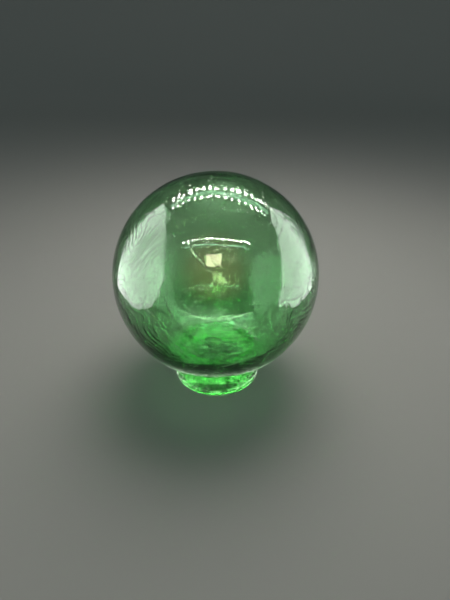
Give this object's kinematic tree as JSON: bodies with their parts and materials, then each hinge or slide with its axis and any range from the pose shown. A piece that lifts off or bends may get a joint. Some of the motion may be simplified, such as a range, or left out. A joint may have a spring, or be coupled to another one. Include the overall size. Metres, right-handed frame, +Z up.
{
  "type": "glass float ball",
  "caption": "Hollow hand-blown ball of clear green glass with a round seal low at the back, resting on a short glass ring stand with a bevelled seat.",
  "frame": {"origin": "on the table, in the middle of the ring stand's underside", "axes": "+Z up through the middle of the ring and the ball; +Y to the back, the side towards which the ball's seal leans; +X to the right"},
  "size_m": [0.08, 0.08, 0.087],
  "materials": {
    "ball_glass": "clear green soda-lime glass, blown and fire-polished, with faint cords and seeds",
    "ring_glass": "clear pale green glass, polished, that fills with green light from the ball"
  },
  "bodies": {
    "root": {"glass_ball": "ball_glass", "ring_stand": "ring_glass"}
  },
  "joints": []
}
